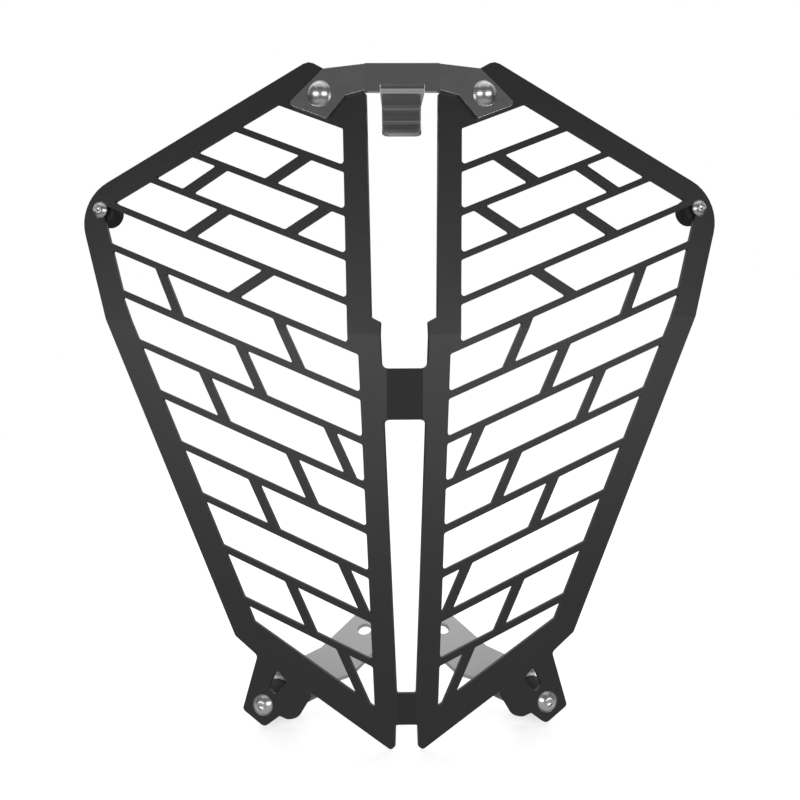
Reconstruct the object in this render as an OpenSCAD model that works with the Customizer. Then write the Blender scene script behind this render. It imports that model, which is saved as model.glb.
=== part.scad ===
// Motorcycle headlight guard: a folded, laser-cut brick-pattern grille with its
// top bracket, side buffers and lower mounting strips.
// Drawn from where the cross fold meets the centre plane, on the front face;
// the origin of the finished guard is the middle of its box.
// X to the right, Y to the back, Z up. Millimetres.

/* [Folded sheet] */
// Thickness of the grille sheet
sheet_t = 2; // [1.5:0.5:3]
// Angle at which each half sweeps back from the nose
sweep = 18; // [15:1:21]
// Lean of the upper facets back from upright
lean_up = 18.5; // [16:0.5:21]
// Lean of the lower facets back from upright
lean_low = 11; // [9:0.5:13]

/* [Grille] */
// Slope of the ribs against the cross fold
rib_angle = 18.3; // [16:0.1:20]
// Distance from one rib to the next
rib_pitch = 17.5; // [17:0.1:18]
// Width of a rib
rib_w = 2.85; // [2:0.05:3.5]
// Width of the short bars in the upper rows
bar_w_up = 4.3; // [3:0.1:5]
// Width of the short bars in the lower rows
bar_w_low = 3.7; // [3:0.1:5]
// Corner radius of the windows
window_r = 1.2; // [0.8:0.1:1.6]
// Corner radius of the windows' sharp corners
window_tip_r = 0.5; // [0.3:0.1:0.8]
// Frame width along the top edge
band_top = 10.2; // [8:0.1:11]
// Frame width along the sides
band_side = 11.2; // [8:0.1:12]
// Frame width along the bottom edge
band_bottom = 11.8; // [9:0.1:12]
// Frame width beside the upper slot
band_slot_up = 10.7; // [8:0.1:12]
// Frame width beside the lower slot
band_slot_low = 9.9; // [8:0.1:12]

/* [Straps] */
// Height of the strap across the middle
mid_strap_h = 22; // [16:0.5:24]
// Height of the strap across the bottom
low_strap_h = 14; // [10:0.5:15]

/* [Top bracket] */
// Thickness of the bracket and its hook
bracket_t = 2; // [1.5:0.25:2]
// Height of the centre plate
plate_h = 12.5; // [11:0.5:14]
// Width of the hook where it leaves the plate
hook_w = 19; // [16:0.5:21]
// How far the hook reaches back
hook_reach = 16.5; // [14:0.5:20]
// Length of the leg that turns down
hook_drop = 4; // [3:0.5:8]
// Length of the lip at the end
hook_lip = 8; // [4:0.5:9]

/* [Lower strips] */
// Thickness of the mounting strips
strip_t = 2; // [1.5:0.5:3]
// Width of the mounting strips
strip_w = 22; // [20:0.5:23]
// Bore at the free end of a strip
strip_bore = 6.5; // [5.5:0.5:7]
// Bend of a strip behind the sheet
strip_bend = 55; // [50:1:60]
// Length of the rubber spacer between ear and strip
spacer_h = 15; // [13:0.5:17]

/* [Side buffers] */
// Diameter of the rubber buffers
buffer_d = 12.5; // [11:0.5:14]
// Length of the rubber buffers
buffer_h = 10; // [9:0.5:12]

/* [Hidden] */

// Middle of the guard's box, from where the cross fold meets the centre plane
box_middle_y = 20.25;
box_middle_z = -31.07;
// Film of air between pieces that seat on each other
seat = 0.02;
// Depth to which straps and flanges are let into the sheet that carries them
tuck = 0.05;
// Play of a screw in its hole
screw_play = 0.5;
// How far a drill sticks out of the faces of what it goes through
drill_play = 5;

// Outline of the right half in its flat pattern: u outwards, v up from the fold
slot_top = [27.3, 103.8];
slot_step_out = [15.7, 7.5];
slot_step_in = [11.4, 5.7];
slot_fold = [11.05, 0];
slot_slope = 0.1034;
mid_strap_v = -13.6;
low_strap_v = -152;
tip = [-5.4, -178.2];
ear_root = [36, -156.5];
ear_knee = [48.5, -170.6];
ear_toe = [55, -176.3];
ear_heel = [65.8, -169.8];
ear_neck = [59.9, -144.6];
side_foot = [71, -137];
side_fold = [141.5, 0];
side_corner = [162.7, 54];
top_corner = [55.2, 118.9];
top_hidden = [29.2, 106];
side_corner_r = 20;
top_corner_r = 5;

// Grille rows: a row is the gap between two ribs, counted from the top
row_1_top = 72.95;
last_row_foot = -153;
rows = round((row_1_top - last_row_foot) / rib_pitch);
bar_angle_up = 145;
// Turn of a window's outline above which a corner counts as sharp
sharp_turn = 118;
bar_angle_low = 61;
// Places of the short bars along each row, which give the brick pattern
bar_places = [
    [], [79.3], [61.2, 115], [105.8], [74.7], [47.8, 110], [60],
    [8.8, 72], [20.7], [33], [-18.7], [0.9], [-31.5]
];

// Fixing places in the flat pattern
bracket_bolt_at = [48, 103.5];
side_screw_at = [150.4, 50];
ear_bolt_at = [56.2, -166.5];

// Straps across the slot: half the flat part between their bends
mid_strap_x = 7.6;
low_strap_x = 3.85;

// Flange bent back from the inner edge of each ear
flange_bend = 50;
flange_w_top = 5.4;
flange_w_low = 9.8;
flange_slant = 2.4;

// Opening through each ear
ear_window = [[50.6, -149.3], [45.2, -154.6], [50.9, -161.2], [53.9, -158.4]];
ear_window_r = 1.4;

// Bracket wings on the upper facets
plate_x = 16.1;
plate_v = 105;
// Step from the plate's top edge down to the wings'
wing_step = 0.9;
hook_bend_r = 1.5;
hook_taper = 1.5;
lip_turn = 35;
lip_r = 2.5;
// Slits beside the hook's first bend
bend_relief = 0.1;

// Strips: a tab round the ear bolt, a fold straight across, and a foot with a dogleg.
// Flat coordinates from the bolt: up, then inwards; angles from upright, turning inwards
strip_fold_up = 8.5;
strip_bend_r = 2.5;
strip_tab_r = 7;
strip_knee = [12.9, 23.75];
strip_heading = 42;
foot_heading = 25;
strip_bore_at = [32.8, 31.5];
foot_past_bore = 9;
foot_corner_r = 2.5;
// Steps in which the ends of the fold are placed
fold_grid = 0.02;
// How far tab and foot overlap in the bend, and how far their edges run square to it
fold_share = 0.4;
fold_flat = 2.6;
spacer_d = 14;

// Screws
button_m4_d = 7.6;
button_m5_d = 9.5;
dome_d = 11.3;
dome_h = 4.3;
m4_d = 4;
m5_d = 5;

// Flat line helpers: a line is a point and an angle
function unit(a) = [cos(a), sin(a)];
function left_of(a) = [-sin(a), cos(a)];
function angle_to(p, q) = atan2(q[1] - p[1], q[0] - p[0]);
function cross2(a, b) = a[0] * b[1] - a[1] * b[0];
function line(p, a) = [p, a];
function shifted(l, d) = [l[0] + d * left_of(l[1]), l[1]];
function meet(l, m) =
    l[0] + unit(l[1]) * cross2(m[0] - l[0], unit(m[1])) / cross2(unit(l[1]), unit(m[1]));

// The flat pattern as seen square to the cross fold
half_fold = (lean_up - lean_low) / 2;
function foreshortened(p) = [for (q = p) [q[0], q[1] * cos(half_fold)]];

// Polygon corners as arcs
function turn_of(a, b, c) = acos(((b - a) * (c - b)) / (norm(b - a) * norm(c - b)));
function corner_arc(a, b, c, r, step) =
    let (
        turn = turn_of(a, b, c),
        back = (a - b) / norm(a - b),
        ahead = (c - b) / norm(c - b),
        reach = r * tan(turn / 2),
        mid = b + (back + ahead) / norm(back + ahead) * r / cos(turn / 2),
        from_mid = (b + back * reach - mid) / r,
        to_mid = (b + ahead * reach - mid) / r,
        steps = max(2, ceil(turn / step), ceil(r * turn / 200))
    )
    r <= 0 ? [b] : [
        for (i = [0:steps])
            mid + r * (sin(turn * (1 - i / steps)) * from_mid + sin(turn * i / steps) * to_mid) / sin(turn)
    ];
function turn_at(p, i) = turn_of(p[(i + len(p) - 1) % len(p)], p[i], p[(i + 1) % len(p)]);
function rounded(p, r, step = 30) = [
    for (i = [0:len(p) - 1])
        each corner_arc(
            p[(i + len(p) - 1) % len(p)], p[i], p[(i + 1) % len(p)],
            is_list(r) ? r[i] : r, step
        )
];

// Where a plane of constant x crosses a facet
function u_at_x(x, v, lean) = (x + v * sin(lean) * sin(sweep)) / cos(sweep);
function slot_u(v) = slot_fold[0] + slot_slope * v;

// Grille lines
function row_top(k) = row_1_top - (k - 1) * rib_pitch;
function row_h() = rib_pitch - rib_w;
function row_mid(k) = row_top(k) - row_h() / 2;
function in_row(s, w) = s * unit(rib_angle) + w * left_of(rib_angle);
function rib_line(w) = line(in_row(0, w), rib_angle);
function is_upper(k) = meet(rib_line(row_mid(k)), slot_line_up)[1] > 0;
function bar_angle(k) = is_upper(k) ? bar_angle_up : bar_angle_low;
function bar_w(k) = is_upper(k) ? bar_w_up : bar_w_low;
function bar_line(k, s, side) =
    shifted(line(in_row(s, row_mid(k)), bar_angle(k)), -side * bar_w(k) / 2);

top_line = shifted(line(side_corner, angle_to(side_corner, top_corner)), band_top);
side_line_up = shifted(line(side_fold, angle_to(side_fold, side_corner)), band_side);
side_line_low = shifted(line(side_foot, angle_to(side_foot, side_fold)), band_side);
bottom_line = shifted(line(tip, angle_to(tip, ear_root)), band_bottom);
slot_line_up = shifted(line(slot_step_out, angle_to(slot_step_out, slot_top)), -band_slot_up);
slot_line_low = shifted(line(slot_fold, 90 - atan(slot_slope)), -band_slot_low);

// Distance along a row at which its middle reaches a line
function reach(k, l) = meet(rib_line(row_mid(k)), l) * unit(rib_angle);
function nearer(k, l, m) = reach(k, l) < reach(k, m) ? l : m;
function inner_end(k) = is_upper(k) ? slot_line_up : slot_line_low;
function outer_end(k) = nearer(k, top_line, nearer(k, side_line_up, side_line_low));
function row_floor(k) =
    let (floor_line = rib_line(row_top(k) - row_h()))
    cross2(unit(bottom_line[1]), meet(floor_line, outer_end(k)) - bottom_line[0]) < 0
        ? bottom_line : floor_line;

// A window whose floor is too short for its round corners runs to a point instead
module window(floor_line, right, ceiling, left) {
    from = meet(floor_line, left);
    to = meet(floor_line, right);
    pointed = (to - from) * unit(rib_angle) < 1.95 * window_r;
    low_corners = pointed ? [meet(left, right)] : [from, to];
    corners = concat(low_corners, [meet(ceiling, right), meet(ceiling, left)]);
    polygon(foreshortened(rounded(corners, [
        for (i = [0:len(corners) - 1])
            turn_at(corners, i) > sharp_turn ? window_tip_r : window_r
    ])));
}

module row_windows(k) {
    cuts = bar_places[k - 1];
    for (i = [0:len(cuts)])
        window(
            row_floor(k),
            i == len(cuts) ? outer_end(k) : bar_line(k, cuts[i], -1),
            rib_line(row_top(k)),
            i == 0 ? inner_end(k) : bar_line(k, cuts[i - 1], 1)
        );
}

module half_outline() {
    mid_end = mid_strap_v - mid_strap_h;
    low_end = low_strap_v - low_strap_h;
    polygon(foreshortened(rounded([
        slot_top, slot_step_out, slot_step_in, slot_fold,
        [slot_u(mid_strap_v), mid_strap_v],
        [u_at_x(mid_strap_x, mid_strap_v, lean_low), mid_strap_v],
        [u_at_x(mid_strap_x, mid_end, lean_low), mid_end],
        [slot_u(mid_end), mid_end],
        [slot_u(low_strap_v), low_strap_v],
        [u_at_x(low_strap_x, low_strap_v, lean_low), low_strap_v],
        [u_at_x(low_strap_x, low_end, lean_low), low_end],
        [tip[0] + 0.4, low_end],
        tip, ear_root, ear_knee, ear_toe, ear_heel, ear_neck, side_foot, side_fold,
        side_corner, top_corner, top_hidden
    ], [
        0, 0.8, 0.8, 0,
        2.4, 0, 0, 1.5,
        0.8, 0, 0, 0.8,
        1.8, 1, 0, 2.5, 1.8, 2, 2, 0,
        side_corner_r, top_corner_r, 0
    ])));
}

module half_pattern() {
    difference() {
        half_outline();
        for (k = [1:rows])
            row_windows(k);
        polygon(foreshortened(rounded(ear_window, ear_window_r)));
    }
}

// Frames of the facets: local z is the outward normal of the front face
module on_facet(lean) {
    rotate([0, 0, sweep])
        rotate([90 - lean, 0, 0])
            children();
}

module each_side() {
    children();
    mirror([1, 0, 0])
        children();
}

// Frame of the cross fold: x along the fold, z square to it, midway between the facets
module on_fold() {
    on_facet((lean_up + lean_low) / 2)
        children();
}

// Sheet folded across the middle, seen from its end: front faces meet at the origin
module folded_blank() {
    up = 125;
    down = 185;
    drop = tan(half_fold);
    back = sheet_t / cos(half_fold);
    rotate([90, 0, 90])
        translate([0, 0, -60])
            linear_extrude(240)
                polygon([
                    [up, -up * drop], [0, 0], [-down, -down * drop],
                    [-down, -down * drop - back], [0, -back], [up, -up * drop - back]
                ]);
}

module half_sheet() {
    on_fold()
        intersection() {
            folded_blank();
            translate([0, 0, -25])
                linear_extrude(30)
                    half_pattern();
        }
}

module strap(x, v, h) {
    lean = atan(tan(lean_low) / cos(sweep));
    stretch = cos(lean_low) / cos(lean);
    translate([0, x * tan(sweep), 0])
        rotate([90 - lean, 0, 0])
            translate([-x - tuck, (v - h) * stretch + 3 * tuck, -sheet_t - tuck])
                cube([2 * x + 2 * tuck, h * stretch - 6 * tuck, sheet_t]);
}

// Flange in the frame of the ear's inner edge: x along the edge, y away from the ear
module ear_flange() {
    run = norm(ear_knee - ear_root);
    on_facet(lean_low)
        translate([ear_root[0], ear_root[1], 0])
            rotate([0, 0, angle_to(ear_root, ear_knee)])
                rotate([flange_bend, 0, 0])
                    translate([0, 0, -sheet_t - tuck])
                        linear_extrude(sheet_t)
                            polygon(rounded([
                                [1, 0], [flange_slant, -flange_w_top], [run - flange_slant, -flange_w_low],
                                [run, -flange_w_top], [run - 0.5, 0]
                            ], [0, 0.8, 3.5, 2, 0]));
}

// Drill that sticks out by its play on both faces of the sheet
module through_facet(lean, at, d) {
    on_facet(lean)
        translate([at[0], at[1], -sheet_t - drill_play])
            cylinder(d = d, h = sheet_t + 2 * drill_play, $fn = 32);
}

module guard_sheet() {
    color("dimgray")
        difference() {
            union() {
                each_side() {
                    half_sheet();
                    ear_flange();
                }
                strap(mid_strap_x, mid_strap_v, mid_strap_h);
                strap(low_strap_x, low_strap_v, low_strap_h);
            }
            each_side() {
                through_facet(lean_up, bracket_bolt_at, m5_d + screw_play);
                through_facet(lean_up, side_screw_at, m4_d + screw_play);
                through_facet(lean_low, ear_bolt_at, m5_d + screw_play);
            }
        }
}

// Bends of a plate whose front face is z = 0: the run goes along x
module bend_back(t, r, turn, w) {
    translate([0, 0, -t - r])
        rotate([-90, -90, 0])
            translate([0, 0, -w / 2])
                rotate_extrude(angle = turn, $fn = 64)
                    translate([r, 0])
                        square([t, w]);
}

module after_bend_back(t, r, turn) {
    translate([0, 0, -t - r])
        rotate([0, turn, 0])
            translate([0, 0, t + r])
                children();
}

module other_face(t) {
    translate([0, 0, -t])
        mirror([0, 0, 1])
            children();
}

module run_plate(t, length, w_start, w_end, end_r) {
    translate([0, 0, -t])
        linear_extrude(t)
            polygon(rounded([
                [0, -w_start / 2], [length, -w_end / 2], [length, w_end / 2], [0, w_start / 2]
            ], [0, end_r, end_r, 0]));
}

// Top bracket
plate_lean = atan(tan(lean_up) / cos(sweep));
wing_lift = (bracket_t + seat) / (cos(sweep) * cos(lean_up));
plate_y = tan(sweep) * plate_x + plate_v * sin(lean_up) / cos(sweep) - wing_lift;
plate_z = plate_v * cos(lean_up);
plate_run = plate_h * cos(lean_up) / cos(plate_lean);

module wing() {
    edge_x = plate_x - (bracket_t + seat) * sin(sweep) * cos(lean_up);
    low_u = u_at_x(edge_x, plate_v, lean_up);
    top_u = u_at_x(edge_x, plate_v + plate_h - wing_step, lean_up);
    on_facet(lean_up)
        translate([0, 0, seat])
            linear_extrude(bracket_t)
                difference() {
                    polygon(rounded([
                        [low_u, plate_v], [35.8, 102.7], [43.6, 92.5], [62.2, 98.7],
                        [47.2, 114.6], [top_u, plate_v + plate_h - wing_step]
                    ], [0, 0.6, 0.8, 1.5, 0.6, 0]));
                    translate(bracket_bolt_at)
                        circle(d = m5_d + screw_play, $fn = 32);
                }
}

module on_plate() {
    translate([0, plate_y, plate_z])
        rotate([90 - plate_lean, 0, 0])
            children();
}

module hook() {
    leg_w = hook_w - hook_taper;
    bend_back(bracket_t, hook_bend_r, 90, hook_w);
    after_bend_back(bracket_t, hook_bend_r, 90) {
        run_plate(bracket_t, hook_reach, hook_w, leg_w, 0);
        translate([hook_reach, 0, 0])
            other_face(bracket_t) {
                bend_back(bracket_t, hook_bend_r, 90, leg_w);
                after_bend_back(bracket_t, hook_bend_r, 90) {
                    run_plate(bracket_t, hook_drop, leg_w, leg_w, 0);
                    translate([hook_drop, 0, 0]) {
                        bend_back(bracket_t, hook_bend_r, lip_turn, leg_w);
                        after_bend_back(bracket_t, hook_bend_r, lip_turn)
                            run_plate(bracket_t, hook_lip, leg_w, leg_w, lip_r);
                    }
                }
            }
    }
}

module top_bracket() {
    notch_x = hook_w / 2 + bend_relief;
    notch_h = hook_bend_r + bracket_t;
    color("silver") {
        each_side()
            wing();
        on_plate() {
            translate([0, 0, -bracket_t])
                linear_extrude(bracket_t)
                    polygon([
                        [-plate_x, 0], [-notch_x, 0], [-notch_x, notch_h], [notch_x, notch_h],
                        [notch_x, 0], [plate_x, 0], [plate_x, plate_run], [-plate_x, plate_run]
                    ]);
            translate([0, notch_h, 0])
                rotate([0, 0, -90])
                    hook();
        }
    }
}

// Screws point along -z with the seat of the head at z = 0
module hex_prism(across, h) {
    cylinder(d = across / cos(30), h = h, $fn = 6);
}

module cap_dome(d, h) {
    r = (d * d / 4 + h * h) / (2 * h);
    intersection() {
        translate([0, 0, h - r])
            sphere(r = r, $fn = 48);
        cylinder(d = d, h = h + 1, $fn = 48);
    }
}

module button_screw(d, head_d, head_h, socket, length) {
    difference() {
        cap_dome(head_d, head_h);
        translate([0, 0, head_h * 0.4])
            hex_prism(socket, head_h);
    }
    translate([0, 0, -length])
        cylinder(d = d, h = length + 0.2, $fn = 32);
}

module ring(d_out, d_in, h) {
    difference() {
        cylinder(d = d_out, h = h, $fn = 40);
        translate([0, 0, -1])
            cylinder(d = d_in, h = h + 2, $fn = 32);
    }
}

module lock_nut(d, across, h) {
    difference() {
        union() {
            hex_prism(across, h * 0.7);
            cylinder(d = across * 0.86, h = h, $fn = 32);
        }
        translate([0, 0, -1])
            cylinder(d = d + 0.1, h = h + 2, $fn = 32);
    }
}

washer_m5_d = 10;
washer_m5_t = 1;
nut_m5_across = 8;
nut_m5_h = 5;
bracket_bolt_l = 14;
side_screw_l = 10;
ear_bolt_l = sheet_t + spacer_h + strip_t + washer_m5_t + nut_m5_h + 2;

module at_bracket_bolt(depth) {
    on_facet(lean_up)
        translate([bracket_bolt_at[0], bracket_bolt_at[1], depth])
            children();
}

module at_side_screw(depth) {
    on_facet(lean_up)
        translate([side_screw_at[0], side_screw_at[1], depth])
            children();
}

module at_ear_bolt(depth) {
    on_facet(lean_low)
        translate([ear_bolt_at[0], ear_bolt_at[1], depth])
            children();
}

module bracket_bolt() {
    color("silver")
        at_bracket_bolt(bracket_t + 2 * seat) {
            cap_dome(dome_d, dome_h);
            translate([0, 0, -bracket_bolt_l])
                cylinder(d = m5_d, h = bracket_bolt_l + 0.2, $fn = 32);
        }
}

module bracket_washer() {
    color("silver")
        at_bracket_bolt(-sheet_t - washer_m5_t - seat)
            ring(washer_m5_d, m5_d + screw_play, washer_m5_t);
}

module bracket_nut() {
    color("silver")
        at_bracket_bolt(-sheet_t - washer_m5_t - 2 * seat)
            mirror([0, 0, 1])
                lock_nut(m5_d, nut_m5_across, nut_m5_h);
}

module side_screw() {
    color("silver")
        at_side_screw(seat)
            button_screw(m4_d, button_m4_d, 2.4, 2.5, side_screw_l);
}

module side_buffer() {
    color("black")
        at_side_screw(-sheet_t - seat)
            mirror([0, 0, 1])
                difference() {
                    union() {
                        cylinder(d = buffer_d, h = buffer_h - 1.2, $fn = 48);
                        translate([0, 0, buffer_h - 1.2])
                            cap_dome(buffer_d, 1.2);
                    }
                    translate([0, 0, -1])
                        cylinder(d = m4_d + 0.1, h = side_screw_l - sheet_t + 1.5, $fn = 32);
                }
}

module ear_bolt() {
    color("silver")
        at_ear_bolt(seat)
            button_screw(m5_d, button_m5_d, 2.8, 3, ear_bolt_l);
}

module ear_spacer() {
    color("black")
        at_ear_bolt(-sheet_t - seat - spacer_h)
            ring(spacer_d, m5_d + screw_play, spacer_h);
}

strip_depth = sheet_t + spacer_h + 2 * seat;

// Edges of a strip left and right of its middle line, before and past the knee
function strip_edge(side) = shifted(line(strip_knee, strip_heading), side * strip_w / 2);
function foot_edge(side) = shifted(line(strip_knee, foot_heading), side * strip_w / 2);
function strip_fold_at(side) =
    round(meet(strip_edge(side), line([0, 0], 90))[1] / fold_grid) * fold_grid;

// Bent strip before it is cut: the tab runs up to the fold, the foot goes back from it
module strip_blank() {
    tab_l = 30;
    foot_l = 60;
    reach = foot_l * unit(-strip_bend);
    translate([0, foot_l, 0])
        rotate([90, 0, 0])
            linear_extrude(foot_l + 20)
                polygon(rounded([
                    [-tab_l, 0], [0, 0], reach, reach - strip_t * left_of(-strip_bend),
                    [-strip_t * tan(strip_bend / 2), -strip_t], [-tab_l, -strip_t]
                ], [0, strip_bend_r + strip_t, 0, 0, strip_bend_r, 0], 5));
}

module ear_strip() {
    near = strip_fold_at(-1);
    far = strip_fold_at(1);
    color("lightgray")
        at_ear_bolt(-strip_depth)
            translate([0, strip_fold_up, 0])
                rotate([0, 0, 90])
                    intersection() {
                        strip_blank();
                        union() {
                            strip_cut()
                                tab_pattern(near, far);
                            rotate([0, strip_bend, 0])
                                strip_cut()
                                    foot_pattern(near, far);
                        }
                    }
}

module strip_cut() {
    translate([0, 0, -strip_t - 1])
        linear_extrude(strip_t + 2)
            children();
}

module tab_pattern(near, far) {
    foot = -strip_fold_up - strip_tab_r;
    difference() {
        polygon(rounded([
            [fold_share, near], [fold_share, far], [-fold_flat, far],
            [foot, strip_tab_r], [foot, -strip_tab_r], [-fold_flat, near]
        ], [0, 0, 0, strip_tab_r - 0.5, strip_tab_r - 0.5, 0]));
        translate([-strip_fold_up, 0])
            circle(d = m5_d + screw_play, $fn = 32);
    }
}

module foot_pattern(near, far) {
    end = line(strip_bore_at + foot_past_bore * unit(foot_heading), foot_heading + 90);
    difference() {
        polygon(rounded([
            [-fold_share, near + tuck], [fold_flat, near + tuck],
            meet(strip_edge(-1), foot_edge(-1)), meet(foot_edge(-1), end),
            meet(foot_edge(1), end), meet(strip_edge(1), foot_edge(1)),
            [fold_flat, far - tuck], [-fold_share, far - tuck]
        ], [0, 0, 0, foot_corner_r, strip_w / 2 - 0.5, 0, 0, 0]));
        translate(strip_bore_at)
            circle(d = strip_bore, $fn = 32);
    }
}

module ear_washer() {
    color("silver")
        at_ear_bolt(-strip_depth - strip_t - washer_m5_t - seat)
            ring(washer_m5_d, m5_d + screw_play, washer_m5_t);
}

module ear_nut() {
    color("silver")
        at_ear_bolt(-strip_depth - strip_t - washer_m5_t - 2 * seat)
            mirror([0, 0, 1])
                lock_nut(m5_d, nut_m5_across, nut_m5_h);
}

module left() {
    mirror([1, 0, 0])
        children();
}

// The middle of the guard's box goes to the origin
module placed() {
    translate([0, -box_middle_y, -box_middle_z])
        children();
}

placed() guard_sheet();
placed() top_bracket();
placed() left() bracket_bolt();  // bracket_bolt_left
placed() bracket_bolt();  // bracket_bolt_right
placed() left() bracket_washer();  // bracket_washer_left
placed() bracket_washer();  // bracket_washer_right
placed() left() bracket_nut();  // bracket_nut_left
placed() bracket_nut();  // bracket_nut_right
placed() left() side_screw();  // side_screw_left
placed() side_screw();  // side_screw_right
placed() left() side_buffer();  // side_buffer_left
placed() side_buffer();  // side_buffer_right
placed() left() ear_bolt();  // ear_bolt_left
placed() ear_bolt();  // ear_bolt_right
placed() left() ear_spacer();  // ear_spacer_left
placed() ear_spacer();  // ear_spacer_right
placed() left() ear_strip();  // ear_strip_left
placed() ear_strip();  // ear_strip_right
placed() left() ear_washer();  // ear_washer_left
placed() ear_washer();  // ear_washer_right
placed() left() ear_nut();  // ear_nut_left
placed() ear_nut();  // ear_nut_right
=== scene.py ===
"""Headlight guard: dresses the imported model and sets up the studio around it."""

from math import atan, cos, pi, radians, sin, tan

import bmesh
import bpy
import numpy as np
from bpy.props import FloatProperty, FloatVectorProperty, IntProperty, PointerProperty
from mathutils import Matrix, Vector


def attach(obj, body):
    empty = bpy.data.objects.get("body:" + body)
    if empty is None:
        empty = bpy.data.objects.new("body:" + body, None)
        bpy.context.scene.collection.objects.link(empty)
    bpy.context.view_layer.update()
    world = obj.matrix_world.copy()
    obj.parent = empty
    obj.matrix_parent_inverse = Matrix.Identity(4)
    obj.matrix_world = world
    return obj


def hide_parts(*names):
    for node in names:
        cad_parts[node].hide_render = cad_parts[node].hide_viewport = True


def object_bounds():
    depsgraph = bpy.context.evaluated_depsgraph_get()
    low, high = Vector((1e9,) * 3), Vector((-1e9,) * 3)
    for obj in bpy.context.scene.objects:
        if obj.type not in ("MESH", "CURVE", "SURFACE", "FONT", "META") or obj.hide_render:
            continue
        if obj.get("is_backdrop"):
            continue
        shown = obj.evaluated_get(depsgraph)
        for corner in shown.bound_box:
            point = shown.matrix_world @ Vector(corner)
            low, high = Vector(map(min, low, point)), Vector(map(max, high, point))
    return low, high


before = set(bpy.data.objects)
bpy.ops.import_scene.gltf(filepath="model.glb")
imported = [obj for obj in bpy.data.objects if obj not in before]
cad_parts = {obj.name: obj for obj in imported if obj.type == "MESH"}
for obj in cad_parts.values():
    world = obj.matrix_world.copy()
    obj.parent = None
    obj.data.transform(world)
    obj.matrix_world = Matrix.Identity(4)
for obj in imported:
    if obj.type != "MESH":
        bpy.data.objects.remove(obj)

bl_info = {
    "name": "Headlight guard",
    "version": (1, 0, 0),
    "blender": (4, 5, 0),
    "location": "View3D > Sidebar > Guard",
    "description": "Builds the screws, nuts, rubber parts, finishes and studio of a headlight guard",
    "category": "Object",
}

MM = 0.001
SIDES = {"left": -1, "right": 1}

# Frame of the folded sheet and sizes of its fittings in millimetres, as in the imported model
SWEEP = radians(18)
LEAN_UP = radians(18.5)
LEAN_LOW = radians(11)
SHEET_T = 2.0
BRACKET_T = 2.0
STRIP_T = 2.0
SPACER_H = 15.0
WASHER_T = 1.0
SEAT = 0.02
M5 = 5.0
M5_PITCH = 0.8
M4 = 4.0
M4_PITCH = 0.7
M5_SOCKET = 3.0
M4_SOCKET = 2.5
DOME_HEAD_H = 4.3
M5_HEAD_H = 2.8
M4_HEAD_H = 2.4
BRACKET_BOLT_LENGTH = 14.0
SIDE_SCREW_LENGTH = 10.0
EAR_BOLT_PAST_STRIP = 7
NUT_H = 5.0
NUT_BORE = 5.1
WASHER_BORE = 5.4
SPACER_BORE = 5.5
BUFFER_H = 10.0
BRACKET_BOLT_AT = (48.0, 103.5)
SIDE_SCREW_AT = (150.4, 50.0)
EAR_BOLT_AT = (56.2, -166.5)

# Middle of the guard's box, from where the cross fold meets the centre plane, in millimetres
BOX_MIDDLE = (0.0, 20.25, -31.07)

# Camera of the photograph, fitted to the folds and ribs
IMAGE_SIZE = 800
CAMERA_YAW = radians(-1.228)
CAMERA_PITCH = radians(-14.756)
CAMERA_ROLL = radians(0.067)
CAMERA_SHIFT = (1.98, 26.45)
CAMERA_DISTANCE = 478.9
PIXELS_PER_MM = 2.386
SENSOR = 36.0

WHITE = (1.0, 1.0, 1.0, 1.0)

# Room between the object's lowest point and the floor, and the floor's reach, in metres
FLOOR_GAP = 0.0004
FLOOR_REACH = 6.0


class StageSettings(bpy.types.PropertyGroup):
    """Lights, floor and background."""

    side_power: FloatProperty(
        name="Side lights", description="Power of each of the two soft lights at the front left and right",
        default=3.0, min=0.0, unit="POWER",
    )
    top_power: FloatProperty(
        name="Top light", description="Power of the light overhead", default=2.6, min=0.0, unit="POWER",
    )
    room: FloatProperty(
        name="Room", description="Brightness of the room as the object sees it", default=0.11, min=0.0,
    )
    wall: FloatProperty(
        name="Wall", description="Brightness of the wall behind the object", default=0.9, min=0.0,
    )
    floor_colour: FloatVectorProperty(
        name="Floor", description="Colour of the floor", default=(0.86, 0.86, 0.86), subtype="COLOR",
        min=0.0, max=1.0,
    )
    floor_mirror: FloatProperty(
        name="Floor mirror", description="Brightness of the floor in bright metal", default=0.4, min=0.0,
    )
    floor_lift: FloatProperty(
        name="Floor lift", description="Light added to the floor where the camera sees it", default=0.66,
    )


class FinishSettings(bpy.types.PropertyGroup):
    """Colours and textures of the surfaces."""

    coat_colour: FloatVectorProperty(
        name="Powder coat", description="Colour of the powder coat", default=(0.021, 0.021, 0.023),
        subtype="COLOR", min=0.0, max=1.0,
    )
    coat_roughness: FloatProperty(
        name="Coat roughness", description="Roughness of the powder coat", default=0.42, min=0.0, max=1.0,
    )
    coat_grain: FloatProperty(
        name="Coat grain", description="Size of the texture of the powder coat", default=0.00045,
        unit="LENGTH",
    )
    steel_colour: FloatVectorProperty(
        name="Steel", description="Colour of the polished steel", default=(0.78, 0.78, 0.79),
        subtype="COLOR", min=0.0, max=1.0,
    )
    aluminium_colour: FloatVectorProperty(
        name="Aluminium", description="Colour of the mounting strips", default=(0.62, 0.62, 0.63),
        subtype="COLOR", min=0.0, max=1.0,
    )
    rubber_colour: FloatVectorProperty(
        name="Rubber", description="Colour of the rubber", default=(0.018, 0.018, 0.019),
        subtype="COLOR", min=0.0, max=1.0,
    )
    edge_round: FloatProperty(
        name="Edge rounding", description="Rounding of the cut edges of the sheet", default=0.0003,
        unit="LENGTH",
    )


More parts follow.
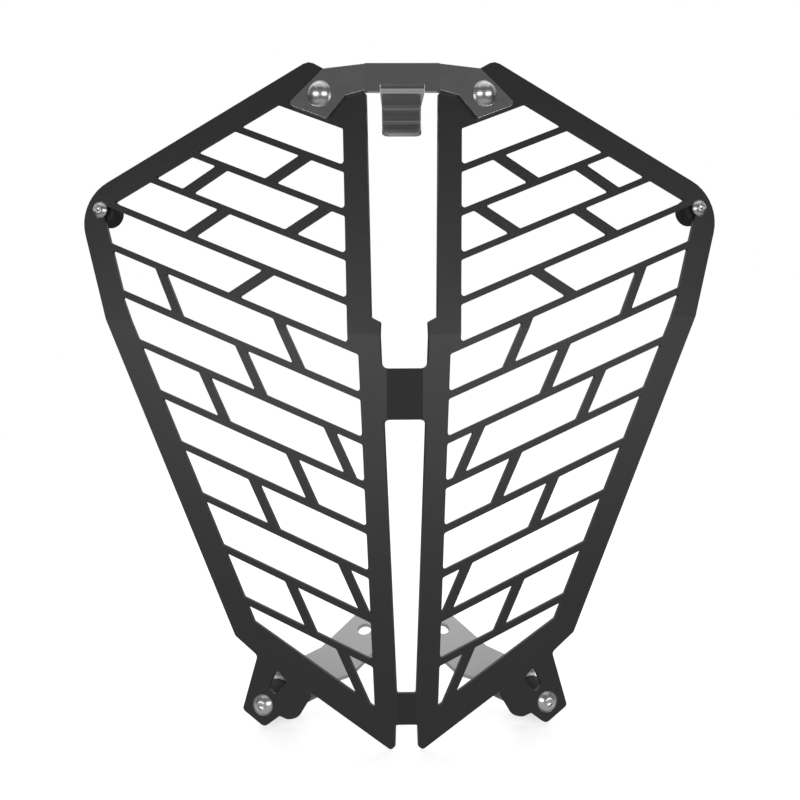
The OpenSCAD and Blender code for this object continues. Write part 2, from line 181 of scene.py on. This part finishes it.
class FastenerSettings(bpy.types.PropertyGroup):
    """Sizes of the screws, nuts and rubber parts, in millimetres."""

    m4_head: FloatProperty(name="M4 head", description="Diameter of the M4 button head", default=7.6)
    m5_head: FloatProperty(name="M5 head", description="Diameter of the M5 button head", default=9.5)
    dome_head: FloatProperty(name="Dome head", description="Diameter of a bracket bolt's head", default=11.3)
    nut_across: FloatProperty(name="Nut", description="Width of the M5 nuts across flats", default=8.0)
    washer: FloatProperty(name="Washer", description="Diameter of the M5 washers", default=10.0)
    buffer: FloatProperty(name="Buffer", description="Diameter of the side buffers", default=12.5)
    spacer: FloatProperty(name="Spacer", description="Diameter of the rubber spacers", default=14.0)
    columns: IntProperty(name="Facets round", description="Columns round a turned piece", default=72, min=24)


class Num:
    """A shader socket that adds, multiplies and so on through Math nodes."""

    def __init__(self, tree, socket):
        self.tree = tree
        self.socket = socket

    def node(self, kind, inputs=(), output=0, **settings):
        """Adds a node of that kind, links or sets its inputs, and returns one output."""
        made = self.tree.nodes.new(kind)
        for name, value in settings.items():
            setattr(made, name, value)
        for key, value in dict(inputs).items():
            target = made.inputs[key]
            if isinstance(value, Num):
                self.tree.links.new(value.socket, target)
            else:
                target.default_value = value
        return Num(self.tree, made.outputs[output])

    def math(self, operation, other):
        return self.node("ShaderNodeMath", {0: self, 1: other}, operation=operation)

    def clipped(self):
        """The value, kept between 0 and 1."""
        return self.math("MAXIMUM", 0.0).math("MINIMUM", 1.0)

    def __add__(self, other):
        return self.math("ADD", other)

    __radd__ = __add__

    def __mul__(self, other):
        return self.math("MULTIPLY", other)

    __rmul__ = __mul__

    def __sub__(self, other):
        return self.math("SUBTRACT", other)

    def __rsub__(self, other):
        return (self * -1.0) + other

    def mix(self, low, high):
        """The colour low where this value is 0 and high where it is 1."""
        return self.node("ShaderNodeMix", {0: self, 6: low, 7: high}, output=2, data_type="RGBA")


def new_material(name):
    """An empty material with a Principled shader: returns the material, its tree and the shader."""
    material = bpy.data.materials.new(name)
    material.use_nodes = True
    tree = material.node_tree
    return material, tree, tree.nodes["Principled BSDF"]


def coordinates(tree, output="Object"):
    """Object coordinates in metres, or the piece's own UV."""
    source = tree.nodes.new("ShaderNodeTexCoord")
    return Num(tree, source.outputs[output])


def stretched(where, scale):
    """Coordinates multiplied by one factor for each axis."""
    return where.node("ShaderNodeVectorMath", {0: where, 1: scale}, operation="MULTIPLY")


def noise(where, scale, detail=2.0, rough=0.5):
    """Noise from 0 to 1 at that many features a metre."""
    return where.node(
        "ShaderNodeTexNoise", {"Vector": where, "Scale": scale, "Detail": detail, "Roughness": rough}
    )


def bumped(height, strength, distance, edge=None):
    """A normal bent by a height, over cut edges rounded by that radius."""
    inputs = {"Height": height, "Strength": strength, "Distance": distance}
    if edge:
        inputs["Normal"] = height.node("ShaderNodeBevel", {"Radius": edge}, samples=4)
    return height.node("ShaderNodeBump", inputs)


def link(tree, value, socket):
    """Links a value to a socket of the tree."""
    tree.links.new(value.socket, socket)


def opaque(colour, factor=1.0):
    """A colour times a factor, with full alpha."""
    return tuple(c * factor for c in colour) + (1.0,)


def grey(level):
    return opaque((level, level, level))


def powder_coat(finish):
    """Satin black powder coat: a fine pebble texture, with slow drifts in gloss."""
    material, tree, shader = new_material("powder_coat")
    where = coordinates(tree)
    pebble = noise(where, 1.0 / finish.coat_grain, 3.0, 0.6)
    drift = noise(where, 22.0, 2.0)
    base = opaque(finish.coat_colour)
    light = opaque(finish.coat_colour, 1.35)
    gloss = finish.coat_roughness + (drift - 0.5) * 0.06 + (pebble - 0.5) * 0.1
    link(tree, pebble.mix(base, light), shader.inputs["Base Color"])
    link(tree, gloss, shader.inputs["Roughness"])
    link(tree, bumped(pebble, 0.12, 0.00006, finish.edge_round), shader.inputs["Normal"])
    return material


def metal(name, colour, roughness, grain, stretch, depth, output="Object", edge=None):
    """Metal with a drawn grain: noise stretched along one axis bends the normal and the gloss."""
    material, tree, shader = new_material(name)
    where = coordinates(tree, output)
    lines = noise(stretched(where, stretch), grain, 3.0, 0.65)
    cloud = noise(where, 60.0 if output == "Object" else 3.0, 2.0)
    shader.inputs["Metallic"].default_value = 1.0
    link(tree, lines.mix(opaque(colour, 0.88), opaque(colour)), shader.inputs["Base Color"])
    link(tree, roughness + (lines - 0.5) * 0.12 + (cloud - 0.5) * 0.08, shader.inputs["Roughness"])
    link(tree, bumped(lines, depth, 0.00005, edge), shader.inputs["Normal"])
    return material


def rubber(finish):
    """Matt moulded rubber with a fine pitting."""
    material, tree, shader = new_material("black_rubber")
    where = coordinates(tree)
    pits = noise(where, 1800.0, 4.0, 0.6)
    base = opaque(finish.rubber_colour)
    dusty = opaque(finish.rubber_colour, 1.8)
    link(tree, pits.mix(base, dusty), shader.inputs["Base Color"])
    link(tree, 0.62 + (pits - 0.5) * 0.2, shader.inputs["Roughness"])
    link(tree, bumped(pits, 0.2, 0.0001), shader.inputs["Normal"])
    return material


def nylon():
    """Dull white nylon of the lock nuts' rings."""
    material, tree, shader = new_material("nylon_ring")
    cloud = noise(coordinates(tree), 900.0, 2.0)
    link(tree, cloud.mix((0.55, 0.56, 0.58, 1.0), (0.7, 0.71, 0.73, 1.0)), shader.inputs["Base Color"])
    shader.inputs["Roughness"].default_value = 0.45
    return material


def floor_material(stage):
    """White floor with the shadow and a faint mirror image near the object, for the camera alone."""
    material, tree, shader = new_material("studio_floor")
    shader.inputs["Base Color"].default_value = opaque(stage.floor_colour)
    shader.inputs["Roughness"].default_value = 0.16
    path = tree.nodes.new("ShaderNodeLightPath")
    camera = Num(tree, path.outputs["Is Camera Ray"])
    glossy = Num(tree, path.outputs["Is Glossy Ray"])
    lift = camera.node("ShaderNodeEmission", {"Color": WHITE, "Strength": stage.floor_lift})
    blank = camera.node("ShaderNodeEmission", {"Color": WHITE, "Strength": 1.0})
    pale = camera.node("ShaderNodeEmission", {"Color": WHITE, "Strength": stage.floor_mirror})
    dark = camera.node("ShaderNodeBsdfDiffuse", {"Color": grey(0.12)})
    away = camera.node("ShaderNodeVectorMath", {0: coordinates(tree)}, output=1, operation="LENGTH")
    far = ((away - 0.3) * 4.0).clipped()
    near = camera.node("ShaderNodeAddShader", {0: Num(tree, shader.outputs[0]), 1: lift})
    seen = camera.node("ShaderNodeMixShader", {0: far, 1: near, 2: blank})
    mirrored = camera.node("ShaderNodeMixShader", {0: glossy * (1.0 - far), 1: dark, 2: pale})
    whole = camera.node("ShaderNodeMixShader", {0: camera, 1: mirrored, 2: seen})
    link(tree, whole, tree.nodes["Material Output"].inputs["Surface"])
    return material


def facet_axes(lean):
    """Columns across, up and out of a facet's face, in the row frame, for the right half."""
    turn = Matrix.Rotation(SWEEP, 3, "Z") @ Matrix.Rotation(pi / 2 - lean, 3, "X")
    return np.array(turn)


def seat_frame(lean, at, lift, side):
    """Axes and origin, in metres, of a place on a facet; the left half is the mirror of the right."""
    axes = facet_axes(lean)
    origin = (axes @ np.array([at[0], at[1], lift]) - BOX_MIDDLE) * MM
    mirror = np.array([side, 1.0, 1.0])
    across = axes[:, 0] * mirror
    out = axes[:, 2] * mirror
    return np.column_stack([across, np.cross(out, across), out]), origin * mirror


def polar_mesh(name, radius, height, place, columns):
    """A turned piece from stations of radius and height, each a number or one value a column.

    Station i, column j lies at radius r(i, j) and height h(i, j) at the angle 2 pi j / columns.
    A station of radius 0 is a single point.
    """
    angle = np.linspace(0, 2 * pi, columns, endpoint=False)
    r = np.array([np.broadcast_to(value, columns) for value in radius], dtype=float)
    h = np.array([np.broadcast_to(value, columns) for value in height], dtype=float)
    points = np.stack([r * np.cos(angle), r * np.sin(angle), h], axis=-1) * MM
    axes, origin = place
    points = points.reshape(-1, 3) @ axes.T + origin
    index = np.arange(len(r) * columns).reshape(len(r), columns)
    for i in (0, len(r) - 1):
        if r[i].max() < 1e-9:
            index[i] = index[i, 0]
    right = np.roll(index, -1, axis=1)
    quads = np.stack([index[:-1], right[:-1], right[1:], index[1:]], axis=-1).reshape(-1, 4)
    faces = [tuple(dict.fromkeys(quad)) for quad in quads.tolist()]
    mesh = bpy.data.meshes.new(name)
    mesh.from_pydata(points.tolist(), [], faces)
    length = np.concatenate([[0.0], np.cumsum(np.hypot(np.diff(r.mean(1)), np.diff(h.mean(1))))])
    layer = mesh.uv_layers.new(name="turned")
    corner = np.empty(len(mesh.loops), dtype=int)
    mesh.loops.foreach_get("vertex_index", corner)
    uv = np.column_stack([(corner % columns) / columns, length[corner // columns] * 0.1])
    layer.data.foreach_set("uv", uv.ravel())
    mesh.update()
    mesh.shade_smooth()
    mesh.set_sharp_from_angle(angle=radians(32))
    return mesh


def add_piece(name, mesh, materials, replaced):
    """Links a mesh as a piece on the root body, standing for a CAD node."""
    piece = bpy.data.objects.new(name, mesh)
    bpy.context.scene.collection.objects.link(piece)
    for material in materials:
        mesh.materials.append(material)
    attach(piece, "root")
    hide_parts(replaced)
    return piece


def hexagon(across, columns):
    """Radius of a hexagon at each column."""
    angle = np.linspace(0, 2 * pi, columns, endpoint=False)
    return across / 2 / np.cos((angle + pi / 6) % (pi / 3) - pi / 6)


def arc(centre, radius, start, end, steps):
    """Points of a circular arc as (radius, height) pairs, angles in degrees."""
    turn = np.radians(np.linspace(start, end, steps + 1))
    return [(centre[0] + radius * cos(a), centre[1] + radius * sin(a)) for a in turn]


def thread(diameter, pitch, length, top, columns):
    """Stations of a right-hand thread going down from top: a triangle wave along a helix."""
    angle = np.linspace(0, 2 * pi, columns, endpoint=False)
    depth = 0.3 * pitch
    steps = int(length / pitch * 6)
    heights = top - np.linspace(0, length, steps + 1)
    run_in = np.clip((top - heights) / pitch, 0, 1) * np.clip((heights - top + length) / pitch, 0, 1)
    radii = []
    for h, share in zip(heights, run_in):
        wave = np.abs(((h / pitch - angle / (2 * pi)) % 1.0) * 2 - 1)
        radii.append(diameter / 2 - depth * wave * share)
    return radii, list(heights)


def dome_height(diameter, height, r):
    """Height of a spherical cap over its base at radius r."""
    ball = (diameter ** 2 / 4 + height ** 2) / (2 * height)
    return np.sqrt(np.maximum(ball ** 2 - np.asarray(r) ** 2, 0)) - ball + height


def add_shank(radius, height, size, length, pitch, columns):
    """Adds the stations of a threaded shank under a head, down to a flat end."""
    thread_r, thread_h = thread(size, pitch, length - 0.6, -0.1, columns)
    radius += [size / 2] + thread_r + [size / 2 - 0.5, 0.0]
    height += [-0.05] + thread_h + [-length, -length]


def button_screw(name, size, head_d, head_h, socket, length, pitch, place, columns):
    """Button-head screw: a spherical cap with a rounded rim, a chamfered hex socket and a thread."""
    hexa = hexagon(socket, columns)
    depth = head_h * 0.6
    rim = 0.25
    chamfer = 0.32
    radius = [0.0, hexa * 0.6, hexa - 0.12, hexa]
    height = [head_h - depth - 0.35, head_h - depth - 0.1, head_h - depth, head_h - depth + 0.12]
    for extra in (0.0, 0.1, 0.2, chamfer):
        radius.append(hexa + extra)
        height.append(dome_height(head_d, head_h, hexa + extra) - 0.22 * (1 - extra / chamfer) ** 2)
    radius.insert(4, hexa)
    height.insert(4, dome_height(head_d, head_h, hexa) - 0.5)
    for share in np.linspace(0.08, 1.0, 12):
        r = (hexa + chamfer) * (1 - share) + (head_d / 2 - 0.12) * share
        radius.append(r)
        height.append(dome_height(head_d, head_h, r))
    low = float(dome_height(head_d, head_h, head_d / 2 - 0.12))
    edge = [(head_d / 2, low - rim), (head_d / 2, 0.08), (head_d / 2 - 0.1, 0.0)]
    for r, h in edge + [(size / 2 + 0.1, 0.0)]:
        radius.append(r)
        height.append(h)
    add_shank(radius, height, size, length, pitch, columns)
    return polar_mesh(name, radius, height, place, columns)


def dome_bolt(name, size, head_d, head_h, length, pitch, place, columns):
    """Plain round-head bolt: a smooth cap with a rounded rim over a threaded shank."""
    radius = [0.0]
    height = [head_h]
    for r in np.linspace(0.06, 1.0, 16) * (head_d / 2 - 0.3):
        radius.append(r)
        height.append(float(dome_height(head_d, head_h, r)))
    low = height[-1]
    edge = [(head_d / 2 - 0.06, low * 0.72), (head_d / 2, low * 0.4)]
    edge += [(head_d / 2 - 0.05, 0.1), (head_d / 2 - 0.2, 0.0)]
    for r, h in edge + [(size / 2 + 0.1, 0.0)]:
        radius.append(r)
        height.append(h)
    add_shank(radius, height, size, length, pitch, columns)
    return polar_mesh(name, radius, height, place, columns)


def ring_mesh(name, outer, inner, thick, place, columns, soft):
    """A flat ring with rounded edges, its top at height 0."""
    outline = []
    outline += arc((outer / 2 - soft, -soft), soft, 90, 0, 4)
    outline += arc((outer / 2 - soft, soft - thick), soft, 0, -90, 4)
    outline += arc((inner / 2 + soft, soft - thick), soft, -90, -180, 4)
    outline += arc((inner / 2 + soft, -soft), soft, 180, 90, 4)
    outline.append(outline[0])
    radius, height = zip(*outline)
    mesh = polar_mesh(name, radius, height, place, columns)
    return welded(mesh)


def welded(mesh):
    """Joins the first and last station of a closed profile."""
    work = bmesh.new()
    work.from_mesh(mesh)
    bmesh.ops.remove_doubles(work, verts=work.verts, dist=1e-7)
    bmesh.ops.recalc_face_normals(work, faces=work.faces)
    work.to_mesh(mesh)
    work.free()
    return mesh


# Bands of the lock nut's stations that belong to its nylon ring
NYLON_ROWS = range(13, 16)


def lock_nut(name, across, high, bore, place, columns):
    """Hex lock nut pointing down: chamfered corners, a round collar and a nylon ring in it."""
    hexa = hexagon(across, columns)
    flat = across / 2
    corner_cut = np.clip((hexa - flat * 1.03) * 0.58, 0, None)
    body = high * 0.72
    radius = [bore / 2, bore / 2 + 0.25, flat * 0.97, np.minimum(hexa, flat * 1.03), hexa, hexa]
    height = [-0.25, 0.0, 0.0, 0.0, -corner_cut, -corner_cut - 0.01]
    radius += [hexa, np.minimum(hexa, flat * 1.03), flat * 0.9, flat * 0.87]
    height += [-body + corner_cut, -body, -body, -body - 0.3]
    radius += [flat * 0.85, flat * 0.78, flat * 0.68]
    height += [-high + 0.4, -high, -high]
    radius += [flat * 0.66, bore / 2 + 0.05, bore / 2 - 0.1, bore / 2 - 0.1, bore / 2]
    height += [-high + 0.25, -high + 0.3, -high + 0.5, -high + 1.4, -high + 1.5]
    radius.append(bore / 2)
    height.append(-0.25)
    mesh = polar_mesh(name, radius, height, place, columns)
    picks = np.zeros(len(mesh.polygons), dtype=np.int32)
    for row in NYLON_ROWS:
        picks[row * columns:(row + 1) * columns] = 1
    mesh.polygons.foreach_set("material_index", picks)
    return welded(mesh)


def buffer_mesh(name, diameter, high, place, columns):
    """Rubber buffer standing off the back of the sheet: a soft rim, a mould line and a crowned end."""
    half = diameter / 2
    middle = -high * 0.5
    crown = 1.2
    outline = [(0.0, 0.0), (half - 0.6, 0.0)]
    outline += arc((half - 0.5, -0.5), 0.5, 90, 0, 4)
    outline += [(half, middle + 0.3), (half + 0.08, middle), (half, middle - 0.3)]
    outline += arc((half - crown, crown + 0.4 - high), crown, 0, -70, 6)
    for share in np.linspace(0.85, 0.0, 8):
        outline.append((half * share, -high + crown * share ** 2 * 0.6))
    radius, height = zip(*outline)
    return polar_mesh(name, radius, height, place, columns)


def dress(node, material):
    """Puts a material on a CAD node's slots."""
    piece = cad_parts[node]
    if not piece.material_slots:
        piece.data.materials.append(material)
    for part in piece.material_slots:
        part.material = material


def material_named(name, build):
    """The material of that name, built the first time it is asked for."""
    return bpy.data.materials.get(name) or build()


def steel_turned(finish):
    """Bright stainless with turning marks round the piece's axis."""
    name = "stainless_turned"
    return material_named(
        name, lambda: metal(name, finish.steel_colour, 0.3, 40.0, (0.2, 9.0, 1.0), 0.15, "UV")
    )


class GUARD_OT_sheet(bpy.types.Operator):
    """Finish the folded grille sheet in powder coat with softened cut edges"""

    bl_idname = "guard.sheet"
    bl_label = "Finish the sheet"

    def execute(self, context):
        finish = context.scene.guard_finish
        dress("guard_sheet", powder_coat(finish))
        return {"FINISHED"}


class GUARD_OT_bracket(bpy.types.Operator):
    """Finish the top bracket and its hook in polished steel"""

    bl_idname = "guard.bracket"
    bl_label = "Finish the bracket"

    def execute(self, context):
        finish = context.scene.guard_finish
        steel = metal(
            "polished_steel", finish.steel_colour, 0.16, 900.0, (0.06, 1.0, 1.0), 0.1, edge=finish.edge_round
        )
        dress("top_bracket", steel)
        return {"FINISHED"}


class GUARD_OT_strips(bpy.types.Operator):
    """Finish the two lower mounting strips in mill-finish aluminium"""

    bl_idname = "guard.strips"
    bl_label = "Finish the strips"

    def execute(self, context):
        finish = context.scene.guard_finish
        strip = metal(
            "strip_aluminium", finish.aluminium_colour, 0.42, 700.0, (0.15, 1.0, 1.0), 0.12,
            edge=finish.edge_round,
        )
        for side in SIDES:
            dress("ear_strip_" + side, strip)
        return {"FINISHED"}


class GUARD_OT_screws(bpy.types.Operator):
    """Build the bracket bolts, the side screws and the ear bolts with their threads"""

    bl_idname = "guard.screws"
    bl_label = "Build the screws"

    def execute(self, context):
        sizes = context.scene.guard_fasteners
        steel = steel_turned(context.scene.guard_finish)
        columns = sizes.columns
        ear_length = SHEET_T + SPACER_H + STRIP_T + WASHER_T + EAR_BOLT_PAST_STRIP
        for side, sign in SIDES.items():
            name = "bracket_bolt_" + side
            place = seat_frame(LEAN_UP, BRACKET_BOLT_AT, BRACKET_T + 2 * SEAT, sign)
            mesh = dome_bolt(
                name + "_detail", M5, sizes.dome_head, DOME_HEAD_H, BRACKET_BOLT_LENGTH, M5_PITCH,
                place, columns,
            )
            add_piece(name + "_detail", mesh, [steel], name)
            name = "side_screw_" + side
            place = seat_frame(LEAN_UP, SIDE_SCREW_AT, SEAT, sign)
            mesh = button_screw(
                name + "_detail", M4, sizes.m4_head, M4_HEAD_H, M4_SOCKET, SIDE_SCREW_LENGTH, M4_PITCH,
                place, columns,
            )
            add_piece(name + "_detail", mesh, [steel], name)
            name = "ear_bolt_" + side
            place = seat_frame(LEAN_LOW, EAR_BOLT_AT, SEAT, sign)
            mesh = button_screw(
                name + "_detail", M5, sizes.m5_head, M5_HEAD_H, M5_SOCKET, ear_length, M5_PITCH,
                place, columns,
            )
            add_piece(name + "_detail", mesh, [steel], name)
        return {"FINISHED"}


class GUARD_OT_nuts(bpy.types.Operator):
    """Build the washers and lock nuts behind the bracket bolts and the ear bolts"""

    bl_idname = "guard.nuts"
    bl_label = "Build the nuts"

    def execute(self, context):
        sizes = context.scene.guard_fasteners
        steel = steel_turned(context.scene.guard_finish)
        ring = material_named("nylon_ring", nylon)
        strip_depth = SHEET_T + SPACER_H + STRIP_T + 2 * SEAT
        spots = {
            "bracket": (LEAN_UP, BRACKET_BOLT_AT, SHEET_T),
            "ear": (LEAN_LOW, EAR_BOLT_AT, strip_depth),
        }
        for side, sign in SIDES.items():
            for spot, (lean, at, depth) in spots.items():
                name = spot + "_washer_" + side
                place = seat_frame(lean, at, -depth - SEAT, sign)
                mesh = ring_mesh(
                    name + "_detail", sizes.washer, WASHER_BORE, WASHER_T, place, sizes.columns, 0.15
                )
                add_piece(name + "_detail", mesh, [steel], name)
                name = spot + "_nut_" + side
                place = seat_frame(lean, at, -depth - WASHER_T - 2 * SEAT, sign)
                mesh = lock_nut(name + "_detail", sizes.nut_across, NUT_H, NUT_BORE, place, sizes.columns)
                add_piece(name + "_detail", mesh, [steel, ring], name)
        return {"FINISHED"}


class GUARD_OT_rubber(bpy.types.Operator):
    """Build the side buffers and the spacers behind the ears"""

    bl_idname = "guard.rubber"
    bl_label = "Build the rubber parts"

    def execute(self, context):
        sizes = context.scene.guard_fasteners
        black = material_named("black_rubber", lambda: rubber(context.scene.guard_finish))
        for side, sign in SIDES.items():
            name = "side_buffer_" + side
            place = seat_frame(LEAN_UP, SIDE_SCREW_AT, -SHEET_T - SEAT, sign)
            mesh = buffer_mesh(name + "_detail", sizes.buffer, BUFFER_H, place, sizes.columns)
            add_piece(name + "_detail", mesh, [black], name)
            name = "ear_spacer_" + side
            place = seat_frame(LEAN_LOW, EAR_BOLT_AT, -SHEET_T - SEAT, sign)
            mesh = ring_mesh(name + "_detail", sizes.spacer, SPACER_BORE, SPACER_H, place, sizes.columns, 0.6)
            add_piece(name + "_detail", mesh, [black], name)
        return {"FINISHED"}


def area_light(name, power, size, place, target):
    """A soft rectangular light at a place, turned to a target, all in metres."""
    data = bpy.data.lights.new(name, "AREA")
    data.energy = power
    data.shape = "RECTANGLE"
    data.size, data.size_y = size
    light = bpy.data.objects.new(name, data)
    bpy.context.scene.collection.objects.link(light)
    light.location = place
    light.rotation_euler = (Vector(target) - Vector(place)).to_track_quat("-Z", "Y").to_euler()


def photo_camera():
    """The photograph's camera: its turn is roll about the view, pitch about X, yaw about Z."""
    yaw = np.array([
        [cos(CAMERA_YAW), 0, sin(CAMERA_YAW)], [0, 1, 0], [-sin(CAMERA_YAW), 0, cos(CAMERA_YAW)]
    ])
    pitch = np.array([
        [1, 0, 0], [0, cos(CAMERA_PITCH), -sin(CAMERA_PITCH)], [0, sin(CAMERA_PITCH), cos(CAMERA_PITCH)]
    ])
    roll = np.array([
        [cos(CAMERA_ROLL), -sin(CAMERA_ROLL), 0], [sin(CAMERA_ROLL), cos(CAMERA_ROLL), 0], [0, 0, 1]
    ])
    upright = np.array([[1, 0, 0], [0, 0, 1], [0, 1, 0]])
    right, up, ahead = roll @ pitch @ yaw @ upright
    turn = np.stack([right, up, ahead])
    place = (turn.T @ -np.array([CAMERA_SHIFT[0], CAMERA_SHIFT[1], CAMERA_DISTANCE]) - BOX_MIDDLE) * MM
    data = bpy.data.cameras.new("photo_camera")
    data.sensor_width = SENSOR
    data.lens = PIXELS_PER_MM * CAMERA_DISTANCE * SENSOR / IMAGE_SIZE
    data.clip_start = 0.01
    camera = bpy.data.objects.new("photo_camera", data)
    bpy.context.scene.collection.objects.link(camera)
    basis = Matrix(np.column_stack([right, up, -ahead]).tolist()).to_4x4()
    camera.matrix_world = Matrix.Translation(place.tolist()) @ basis
    bpy.context.scene.camera = camera


def studio_world(stage):
    """White for the camera; for everything else a dim room with a bright wall at the back."""
    world = bpy.data.worlds.new("studio")
    world.use_nodes = True
    tree = world.node_tree
    seen = Num(tree, tree.nodes.new("ShaderNodeLightPath").outputs["Is Camera Ray"])
    toward_back = seen.node("ShaderNodeSeparateXYZ", {0: coordinates(tree, "Generated")}, output=1)
    back = ((toward_back - 0.25) * 3.0).clipped()
    room = grey(stage.room)
    wall = grey(stage.wall)
    around = back.mix(room, wall)
    link(tree, seen.mix(around, WHITE), tree.nodes["Background"].inputs["Color"])
    bpy.context.scene.world = world


def studio_floor(stage, level):
    """A wide flat floor just under the object, as one grid of quads."""
    steps = np.linspace(-FLOOR_REACH, FLOOR_REACH, 13)
    x, y = np.meshgrid(steps, steps)
    points = np.column_stack([x.ravel(), y.ravel(), np.full(x.size, level)])
    index = np.arange(x.size).reshape(x.shape)
    quads = np.stack([index[:-1, :-1], index[:-1, 1:], index[1:, 1:], index[1:, :-1]], axis=-1)
    mesh = bpy.data.meshes.new("studio_floor")
    mesh.from_pydata(points.tolist(), [], quads.reshape(-1, 4).tolist())
    mesh.materials.append(floor_material(stage))
    floor = bpy.data.objects.new("studio_floor", mesh)
    bpy.context.scene.collection.objects.link(floor)
    floor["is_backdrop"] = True


class GUARD_OT_stage(bpy.types.Operator):
    """Set up the camera of the photograph, the soft lights, the room and the floor"""

    bl_idname = "guard.stage"
    bl_label = "Set up the studio"

    def execute(self, context):
        stage = context.scene.guard_stage
        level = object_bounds()[0][2] - FLOOR_GAP
        middle = (0.0, 0.0, 0.03)
        photo_camera()
        for name, side in SIDES.items():
            place = (side * 0.62, -0.80, 0.25)
            area_light("soft_" + name, stage.side_power, (0.8, 0.42), place, middle)
        area_light("top", stage.top_power, (1.4, 1.1), (0.0, 0.25, 1.0), middle)
        studio_world(stage)
        studio_floor(stage, level)
        context.scene.view_settings.view_transform = "Standard"
        return {"FINISHED"}


GROUPS = {"guard_stage": StageSettings, "guard_finish": FinishSettings, "guard_fasteners": FastenerSettings}
STEPS = [
    GUARD_OT_sheet,
    GUARD_OT_bracket,
    GUARD_OT_strips,
    GUARD_OT_screws,
    GUARD_OT_nuts,
    GUARD_OT_rubber,
    GUARD_OT_stage,
]


class GUARD_PT_panel(bpy.types.Panel):
    """Lists the settings and the steps"""

    bl_idname = "GUARD_PT_panel"
    bl_label = "Headlight guard"
    bl_space_type = "VIEW_3D"
    bl_region_type = "UI"
    bl_category = "Guard"

    def draw(self, context):
        for name, group in GROUPS.items():
            settings = getattr(context.scene, name)
            for key in group.__annotations__:
                self.layout.prop(settings, key)
        for step in STEPS:
            self.layout.operator(step.bl_idname)


def register():
    for kind in [*GROUPS.values(), *STEPS, GUARD_PT_panel]:
        bpy.utils.register_class(kind)
    for name, group in GROUPS.items():
        setattr(bpy.types.Scene, name, PointerProperty(type=group))


def unregister():
    for name in GROUPS:
        delattr(bpy.types.Scene, name)
    for kind in reversed([*GROUPS.values(), *STEPS, GUARD_PT_panel]):
        bpy.utils.unregister_class(kind)


def main():
    """Registers the classes and runs the steps in order."""
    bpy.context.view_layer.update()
    register()
    for step in STEPS:
        group, name = step.bl_idname.split(".")
        getattr(getattr(bpy.ops, group), name)()


if __name__ == "__main__":
    main()
